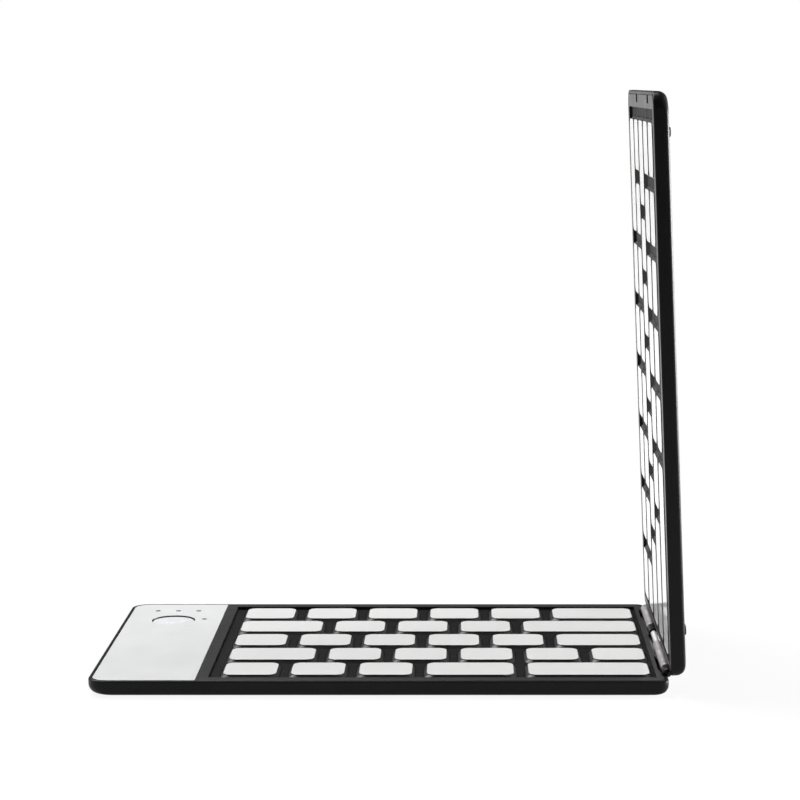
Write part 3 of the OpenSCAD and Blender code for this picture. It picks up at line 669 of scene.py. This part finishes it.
base_tray = tray("base_key_plate", 0, BASE_ROWS, 6.5, PANEL_X - 2.9, BASE_BARRELS, 53.1, BASE_SCREWS)
combine(base_tray, [block("panel_side", (PANEL_X, -1, 3.1), (150, 92, 5))])
combine(base_tray, [block("panel_under", (PANEL_X + 1.2, -1, 0), (150, 92, 5))])
lid_tray = tray("lid_key_plate", LID_BACK, LID_ROWS, 8, HALF_LEN - 4.4, LID_BARRELS, 56.1, LID_SCREWS)
MAGNET_YS, END_SLOT_YS = (25, 65.8), (16.3, 54.1)
combine(lid_tray, [block("magnet_room", (139.15, y - 5.05, 0), (142.25, y + 5.05, 2.7))
                   for y in MAGNET_YS]
        + [block("end_slot", (142, y, WELL_Z), (144.2, y + 4.6, 5)) for y in END_SLOT_YS])
for piece, body, place, node, well_end in (
        (base_tray, "base", ON_BASE, "base_tray", PANEL_X - 2.9),
        (lid_tray, "lid", ON_LID, "lid_tray", HALF_LEN - 4.4)):
    # The well's floor faces take the second finish, the darker black of painted shade.
    edit(piece)
    pick("FACE", lambda middle, normal: abs(middle.z - WELL_Z) < 0.01 and normal.z > 0.99
         and WELL_START < middle.x < well_end)
    dark = [face.index for face in bmesh.from_edit_mesh(piece.data).faces if face.select]
    leave()
    finish_piece(piece, body, [tray_grey, well_floor_painted_shade], place, [node])
    for index in dark:
        piece.data.polygons[index].material_index = 1
    print(node, "has", len(dark), "faces on the floor of its well")
print("trays have", len(base_tray.data.polygons), "and", len(lid_tray.data.polygons), "faces")

# %% [markdown]
# ## The keys
# A key is a white plate on a dark skirt that slopes outwards and ends in a foot under the tray.
# One key of each width is modelled from a rounded block: the skirt and foot are rings below
# it, the polished edge is a ring of small insets above it, and the inside is hollowed by an
# inset and an extrude. All other keys are copies with their own mesh.

# %% One key of each width
def key_model(units):
    """A key this many units wide, round the origin."""
    width = units * PITCH_X - KEY_GAP_X
    size = ((-width / 2, width / 2), (-KEY_DEPTH / 2, KEY_DEPTH / 2))
    piece = rounded_block("key_model", width, KEY_DEPTH, (3.65, KEY_TOP - 0.1), KEY_CORNER, 8)
    edit(piece)
    pick_cap(1)
    climb(size, [(fillet(0.1, t), fillet(0.1, t), KEY_TOP - t)
                 for t in (0.1, 0.06, 0.03, 0.01, 0)])
    pick_cap(-1)
    climb(size, [(0, 0, 3.65), (-0.7, -0.5, WELL_Z), (-0.7, -0.5, 2.25)])
    climb(size, [(-0.7, -0.5, 2.25), (-1.25, -1.05, 2.2), (-1.25, -1.05, 1.9)])
    bpy.ops.mesh.inset(thickness=1.45, depth=0)
    climb(size, [(0.2, 0.2, 1.9), (0.2, 0.2, 3.15)])
    pick("FACE", lambda middle, normal: middle.z < 3.86)
    piece.data.materials.append(white_key)
    piece.data.materials.append(dark_skirt)
    piece.active_material_index = 1
    bpy.ops.object.material_slot_assign()
    leave()
    return combine(piece, [post("boss", 0, 0, 1.5, (2.15, 3.3), 24)], "UNION")


key_models = {u: key_model(u) for u in (1, 1.5, 2, 3)}
print("a single key has", len(key_models[1].data.polygons), "faces")

# %% Copies in all their places
def finish_keys(piece, body, place, node):
    """Place a key or a row of keys, keeping which faces are white and which are dark."""
    only(piece)
    piece.data.transform(place)
    if place.determinant() < 0:
        piece.data.flip_normals()
    even_shading(piece)
    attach(piece, body)
    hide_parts(node)


for r, letter in enumerate("abcde"):
    for k, units in enumerate(BASE_ROWS[r]):
        key = copy_to(key_models[units], f"key_base_{letter}{k + 1}",
                      *key_middle(BASE_ROWS[r], k, 6.5, r))
        finish_keys(key, f"base_key_{letter}{k + 1}", ON_BASE, f"base_key_{letter}{k + 1}")
    row = [copy_to(key_models[units], f"keys_lid_row_{letter}{k + 1}",
                   *key_middle(LID_ROWS[r], k, 8, r)) for k, units in enumerate(LID_ROWS[r])]
    if letter == "e":
        bar = row.pop()
        bar.name = "long_space_key"
        finish_keys(bar, "space_bar", ON_LID, "space_bar")
    row = join(row)
    row.name = f"keys_lid_row_{letter}"
    finish_keys(row, f"lid_keys_row_{letter}", ON_LID, f"lid_keys_row_{letter}")
for model in key_models.values():
    bpy.data.objects.remove(model)
print("keys on the base:", sum(len(row) for row in BASE_ROWS),
      "and on the lid:", sum(len(row) for row in LID_ROWS))

# %% [markdown]
# ## The end panel and its button
# The panel is a thin white plate with rounded outer corners. Its round hole is cut with a
# Boolean and the rim of the hole softened with a small bevel, because a moulded edge is never
# sharp. The upright edges of the plate, the walls of its holes among them, get the tray's dark
# grey as painted shade of the narrow gaps they face. The button has a flange that keeps it from
# falling out, so it starts wide and steps in; its face lies a little below that of the panel.
# Its sides and flange get the same dark grey, painted shade of the gap round it.

# %% Panel
inset = RIM + GAP
size = ((PANEL_X + GAP, HALF_LEN - inset), (inset, HALF_DEPTH - inset))
panel = block("end_panel", (size[0][0], inset, 3.1), (size[0][1], HALF_DEPTH - inset, HALF_T - 0.15))
edit(panel)
round_uprights(size[0][0], 0.3, 3)
round_uprights(size[0][1], 3.9, 12)
pick_cap(1)
climb(size, [(fillet(0.15, t), fillet(0.15, t), HALF_T - t) for t in (0.15, 0.08, 0.03, 0.01, 0)])
leave()
LENSES = [(137.1, 81.5), (131.4, 81.5), (125.7, 81.5), (123.0, 71.0)]
HOLE_R = 5.95
combine(panel, [post("button_hole", *BUTTON, HOLE_R, (2, 5), 96)]
        + [post("lens_hole", x, y, 0.75, (2, 5), 24) for x, y in LENSES])
edit(panel)
pick("EDGE", lambda middle, way: abs(middle.z - HALF_T) < 0.01 and abs(
    math.hypot(middle.x - BUTTON[0], middle.y - BUTTON[1]) - HOLE_R) < 0.05)
bpy.ops.mesh.bevel(offset=0.1, segments=3, affect="EDGES")
leave()
finish_piece(panel, "base", [white_panel, tray_grey], ON_BASE, ["panel_cover"])
# painted shade: the panel's upright faces get the tray's dark grey, for the gaps they face lie in
# shadow
edit(panel)
pick("FACE", lambda middle, normal: abs(normal.z) < 0.6)
panel.active_material_index = 1
bpy.ops.object.material_slot_assign()
leave()

# %% Button and lenses
button = post("round_button", *BUTTON, 6.45, (2.7, 3.05), 96)
edit(button)
pick_cap(1)
bpy.ops.mesh.inset(thickness=0.8, depth=0)
square = ((BUTTON[0] - 5.65, BUTTON[0] + 5.65), (BUTTON[1] - 5.65, BUTTON[1] + 5.65))
climb(square, [(0, 0, 3.05), (0, 0, 3.3)]
      + [(fillet(0.15, t), fillet(0.15, t), 3.45 - t) for t in (0.08, 0.03, 0.01, 0)])
pick_cap(-1)
bpy.ops.mesh.inset(thickness=5.25, depth=0)
climb(square, [(4.45, 4.45, 2.7), (4.45, 4.45, 2.5)])
leave()
finish_piece(button, "connect_button", [white_button, tray_grey], ON_BASE,
             ["connect_button"])
# painted shade: the button's sides and flange get the tray's dark grey, the shadow of the gap round
# the button
edit(button)
pick("FACE", lambda middle, normal: middle.z < 0.00385)
button.active_material_index = 1
bpy.ops.object.material_slot_assign()
leave()

lenses = []
for x, y in LENSES:
    lens = post("lens", x, y, 0.7, (1.95, 3.74), 24)
    edit(lens)
    pick_cap(1)
    climb(((x - 0.7, x + 0.7), (y - 0.7, y + 0.7)),
          [(0, 0, 3.74), (0.06, 0.06, 3.79), (0.2, 0.2, 3.8)])
    leave()
    lenses.append(lens)
lenses = join(lenses)
lenses.name = "light_pipes"
finish_piece(lenses, "base", [smoked_lens], ON_BASE, ["indicator_lenses"])
print("panel faces:", len(panel.data.polygons), "button faces:", len(button.data.polygons))

# %% [markdown]
# ## Barrels, leaves and pins
# Each leaf is a steel strip: its foot lies on the floor of the shell, it rises behind the end
# wall and rolls into a barrel round the pin. The strip is a plane whose end edge is extruded
# from bend to bend and then thickened with Solidify, which is how sheet metal is best drawn.

# %% A leaf with its barrel
LEAF_BENDS = [(-0.55, 0.15), (-0.6, 0.6), (-0.23, 0.7), (0, 1.0), (-0.15, 0.22),
              (-0.35, 0.1), (-0.5, 0)]   # steps in x and z from the foot to the barrel


def leaf(ys):
    """A bent strip between two stations, rolled into a barrel at its end."""
    bpy.ops.object.select_all(action="DESELECT")
    bpy.ops.mesh.primitive_plane_add(size=1, location=(6, (ys[0] + ys[1]) / 2, 0.75),
                                     scale=(6, ys[1] - ys[0], 1))
    strip = bpy.context.object
    bpy.ops.object.transform_apply(location=True, rotation=True, scale=True)
    strip.scale = (1, 1, 1)
    edit(strip)
    pick("EDGE", lambda middle, way: middle.x < 3.01)
    for dx, dz in LEAF_BENDS:
        bpy.ops.mesh.extrude_region_move(TRANSFORM_OT_translate={"value": (dx, 0, dz)})
    bpy.ops.mesh.select_all(action="SELECT")
    bpy.ops.mesh.normals_make_consistent(inside=False)
    leave()
    step = strip.modifiers.new("thick", "SOLIDIFY")
    step.thickness, step.offset = 0.3, 0
    bpy.ops.object.modifier_apply(modifier=step.name)
    barrel = rod("barrel", 0, AXIS_Z, BARREL_R, ys, 64)
    edit(barrel)
    pick("EDGE", lambda middle, way: abs(way.y) < 0.5)
    bpy.ops.mesh.bevel(offset=0.12, segments=3, affect="EDGES")
    leave()
    combine(barrel, [strip], "UNION")
    return combine(barrel, [rod("bore", 0, AXIS_Z, 0.84, (ys[0] - 1, ys[1] + 1))])


for name, body, barrels, place, node in (
        ("base_leaves", "base", BASE_BARRELS, ON_BASE, "base_hinge_leaf"),
        ("lid_leaves", "lid", LID_BARRELS, ON_LID, "lid_hinge_leaf")):
    leaves = join([leaf(ys) for ys in barrels])
    leaves.name = name
    finish_piece(leaves, body, [barrel_metal], place, [node])

# %% Pins with chamfered ends
pins = []
for a, b in PINS:
    pin = rod("pin", 0, AXIS_Z, 0.8, (a + 0.05, b - 0.05))
    edit(pin)
    pick("EDGE", lambda middle, way: abs(way.y) < 0.5)
    bpy.ops.mesh.bevel(offset=0.15, segments=2, affect="EDGES")
    leave()
    pins.append(pin)
pins = join(pins)
pins.name = "steel_pins"
finish_piece(pins, "base", [pin_steel], ON_BASE, ["hinge_pins"])
print("hinge done:", len(pins.data.polygons), "faces on the pins")

# %% [markdown]
# ## Rubber feet
# Eight small rubber strips keep the halves off the desk. Each is a capsule whose lower edge is
# rounded, set 0.2 mm into its recess.

# %% Feet
for name, body, places, place, node in (
        ("base_rubber_feet", "base", BASE_FEET, ON_BASE, "base_feet"),
        ("lid_rubber_feet", "lid", LID_FEET, ON_LID, "lid_feet")):
    feet = []
    for x, y in places:
        foot = capsule("foot", x, y, 2.4, 16, (-0.3, 0.2))
        edit(foot)
        pick_cap(-1)
        climb(((x - 1.2, x + 1.2), (y - 8, y + 8)),
              [(fillet(0.2, t), fillet(0.2, t), t - 0.5) for t in (0.2, 0.1, 0.04, 0)])
        leave()
        feet.append(foot)
    feet = join(feet)
    feet.name = name
    finish_piece(feet, body, [foot_rubber], place, [node])
print("feet done")

# %% [markdown]
# ## Pieces that keep their CAD shape
# Screws, socket, circuit board, cell, magnets, plates, rubber sheets and cables are right as
# they are, so they keep their meshes and only get real finishes. Most of them are out of
# sight, but someone who takes the part apart will see them.

# %% Finishes of the inner pieces
screw_metal, tree, surface, place = start_finish("blackened_screw_steel", Metallic=1.0)
tint(tree, surface, noise(tree, place, 0.8, 3), "#4c4b4d", "#5e5d60")
gloss(tree, surface, noise(tree, place, 0.5, 2), 0.35, 0.5)

socket_metal, tree, surface, place = start_finish("drawn_nickel_plated_steel", Metallic=1.0)
tint(tree, surface, noise(tree, place, 1.5, 3, (1, 0.2, 1)), "#b3b1b0", "#c6c4c2")
gloss(tree, surface, noise(tree, place, 0.6, 3, (1, 0.1, 1)), 0.22, 0.34)

plate_metal, tree, surface, place = start_finish("galvanised_steel_sheet", Metallic=1.0)
spangle = add_node(tree, "ShaderNodeTexVoronoi",
                   inputs={"Vector": place, "Scale": per_mm(4)}).outputs["Distance"]
tint(tree, surface, spangle, "#9da0a2", "#b4b6b8")
gloss(tree, surface, noise(tree, place, 3, 2), 0.35, 0.5)

magnet_metal, tree, surface, place = start_finish("nickel_plated_magnet", Metallic=1.0)
tint(tree, surface, noise(tree, place, 3, 3), "#c0bfbd", "#cecdca")
gloss(tree, surface, noise(tree, place, 1.5, 2), 0.18, 0.3)

dome_rubber, tree, surface, place = start_finish(
    "milky_silicone_rubber", IOR=1.43, Subsurface_Weight=0.2, Subsurface_Scale=0.001)
tint(tree, surface, noise(tree, place, 5, 3), "#62666a", "#72767a")
gloss(tree, surface, noise(tree, place, 2, 2), 0.45, 0.6)

board_green, tree, surface, place = start_finish("green_solder_mask_laminate", IOR=1.5)
traces = add_node(tree, "ShaderNodeTexBrick", {"offset": 0.5}, {
    "Vector": place, "Scale": per_mm(6), "Mortar Size": 0.03,
    "Color1": (0, 0, 0, 1), "Color2": (0.2, 0.2, 0.2, 1), "Mortar": (1, 1, 1, 1)}).outputs["Fac"]
tint(tree, surface, traces, "#17452b", "#2a6b45")
gloss(tree, surface, noise(tree, place, 2, 2), 0.25, 0.38)

cell_foil, tree, surface, place = start_finish("laminated_aluminium_pouch", Metallic=0.9)
tint(tree, surface, noise(tree, place, 6, 4), "#9a9da1", "#b0b3b6")
gloss(tree, surface, noise(tree, place, 2, 3), 0.28, 0.42)
relief(tree, surface, noise(tree, place, 3.5, 3), 0.05)

cable_jacket, tree, surface, place = start_finish("black_PVC_cable_jacket", IOR=1.53)
tint(tree, surface, noise(tree, place, 1, 3), "#1b1b1c", "#272728")
gloss(tree, surface, noise(tree, place, 0.7, 2), 0.4, 0.55)

# %% Give them to the CAD nodes
INNER = {
    "base_screws": screw_metal, "lid_screws": screw_metal, "charging_socket": socket_metal,
    "base_support_plate": plate_metal, "lid_support_plate": plate_metal,
    "base_dome_sheet": dome_rubber, "lid_dome_sheet": dome_rubber,
    "circuit_board": board_green, "battery": cell_foil, "tact_switch": socket_metal,
    "base_link_cable": cable_jacket, "lid_link_cable": cable_jacket,
    "base_magnets": magnet_metal, "lid_magnets": magnet_metal,
}
for name, finish in INNER.items():
    for slot in nodes[name].material_slots:
        slot.material = finish
print("CAD pieces with a finish of their own:", len(INNER))

# %% [markdown]
# ## Studio
# The product was shot on white, lit from above and behind, with the photographer's side of the
# room dark. So a wide soft lamp hangs above, a weak one stands on the left and a low one on the
# right, which draws the bright line down the lid's back edge. The floor is white to the camera
# and grows darker towards the front in reflections. The air is white only in a low strip behind
# and on the right, so flat faces seen at a slant pick up a sheen and the others stay dark.

# %% Floor and backdrop
def white_stage(name):
    """White to the camera, more so far away, and in reflections where the desk reaches."""
    finish = bpy.data.materials.new(name)
    finish.use_nodes = True
    tree = finish.node_tree
    tree.nodes.clear()
    place = add_node(tree, "ShaderNodeTexCoord").outputs["Object"]
    far = add_node(tree, "ShaderNodeVectorMath", {"operation": "LENGTH"}, {0: place})
    white = add_node(tree, "ShaderNodeMapRange", {"interpolation_type": "SMOOTHSTEP"}, {
        "Value": far.outputs["Value"], "From Min": 0.12, "From Max": 0.32,
        "To Min": 0.9, "To Max": 1.0})
    along = add_node(tree, "ShaderNodeSeparateXYZ", inputs={0: place})
    desk = add_node(tree, "ShaderNodeMapRange", {"interpolation_type": "SMOOTHSTEP"}, {
        "Value": along.outputs["Y"], "From Min": -0.45, "From Max": -0.05,
        "To Min": 0.0, "To Max": 0.8})
    path = add_node(tree, "ShaderNodeLightPath")
    seen = add_node(tree, "ShaderNodeMath", {"operation": "ADD", "use_clamp": True}, {
        0: path.outputs["Is Camera Ray"], 1: path.outputs["Is Transmission Ray"]})
    seen = add_node(tree, "ShaderNodeMath", {"operation": "MULTIPLY"}, {
        0: seen.outputs[0], 1: white.outputs[0]})
    mirrored = add_node(tree, "ShaderNodeMath", {"operation": "MULTIPLY"}, {
        0: path.outputs["Is Glossy Ray"], 1: desk.outputs[0]})
    part = add_node(tree, "ShaderNodeMath", {"operation": "ADD", "use_clamp": True}, {
        0: seen.outputs[0], 1: mirrored.outputs[0]})
    card = add_node(tree, "ShaderNodeBsdfDiffuse", inputs={"Color": linear("#f2f2f2")})
    glow = add_node(tree, "ShaderNodeEmission", inputs={"Color": (1, 1, 1, 1), "Strength": 1.0})
    mix = add_node(tree, "ShaderNodeMixShader", inputs={
        0: part.outputs[0], 1: card.outputs[0], 2: glow.outputs[0]})
    add_node(tree, "ShaderNodeOutputMaterial", inputs={"Surface": mix.outputs[0]})
    return finish


bpy.ops.object.select_all(action="DESELECT")
bpy.ops.mesh.primitive_plane_add(size=8, location=(0, 0, 0))
floor = bpy.context.object
floor.name = "studio_floor"
floor.data.materials.append(white_stage("studio_white_floor"))

# %% Lamps and surrounding light
def lamp(name, place, aim, size, power):
    """A soft rectangular lamp that looks at a point."""
    light = bpy.data.lights.new(name, "AREA")
    light.shape, light.size, light.size_y, light.energy = "RECTANGLE", *size, power
    holder = bpy.data.objects.new(name, light)
    bpy.context.scene.collection.objects.link(holder)
    holder.location = place
    holder.rotation_euler = (Vector(aim) - Vector(place)).to_track_quat("-Z", "Y").to_euler()
    return holder


lamp("top_light", (-0.4, 0.45, 1.0), (0, 0, 0.03), (0.9, 0.9), 19.5)
lamp("left_light", (-1.1, 0.2, 0.5), (0, 0, 0.07), (0.8, 0.8), 4)
lamp("right_light", (0.9, 0.15, 0.1), (0.07, 0, 0.07), (0.7, 0.2), 22)

world = bpy.data.worlds.new("studio_air")
bpy.context.scene.world = world
world.use_nodes = True
tree = world.node_tree
tree.nodes.clear()
path = add_node(tree, "ShaderNodeLightPath")
seen = add_node(tree, "ShaderNodeMath", {"operation": "ADD", "use_clamp": True}, {
    0: path.outputs["Is Camera Ray"], 1: path.outputs["Is Transmission Ray"]})
way = add_node(tree, "ShaderNodeSeparateXYZ", inputs={
    0: add_node(tree, "ShaderNodeTexCoord").outputs["Generated"]})
back = add_node(tree, "ShaderNodeMapRange", {"interpolation_type": "SMOOTHSTEP"}, {
    "Value": way.outputs["Y"], "From Min": 0.0, "From Max": 0.6, "To Min": 0.0, "To Max": 1.0})
low = add_node(tree, "ShaderNodeMapRange", {"interpolation_type": "SMOOTHSTEP"}, {
    "Value": way.outputs["Z"], "From Min": 0.0, "From Max": 0.14, "To Min": 1.0, "To Max": 0.04})
strip = add_node(tree, "ShaderNodeMath", {"operation": "MULTIPLY"}, {
    0: back.outputs[0], 1: low.outputs[0]})
glow = add_node(tree, "ShaderNodeMapRange", inputs={
    "Value": strip.outputs[0], "To Min": 0.04, "To Max": 0.9})
side = add_node(tree, "ShaderNodeMapRange", {"interpolation_type": "SMOOTHSTEP"}, {
    "Value": way.outputs["X"], "From Min": 0.3, "From Max": 0.75, "To Min": 0.0, "To Max": 0.9})
glow = add_node(tree, "ShaderNodeMath", {"operation": "MAXIMUM"}, {
    0: glow.outputs[0], 1: side.outputs[0]})
level = add_node(tree, "ShaderNodeMix", {"data_type": "FLOAT"}, {
    0: seen.outputs[0], 2: glow.outputs[0], 3: 1.0})
air = add_node(tree, "ShaderNodeBackground", inputs={
    "Color": (1, 1, 1, 1), "Strength": level.outputs[0]})
add_node(tree, "ShaderNodeOutputWorld", inputs={"Surface": air.outputs[0]})
print("studio ready")
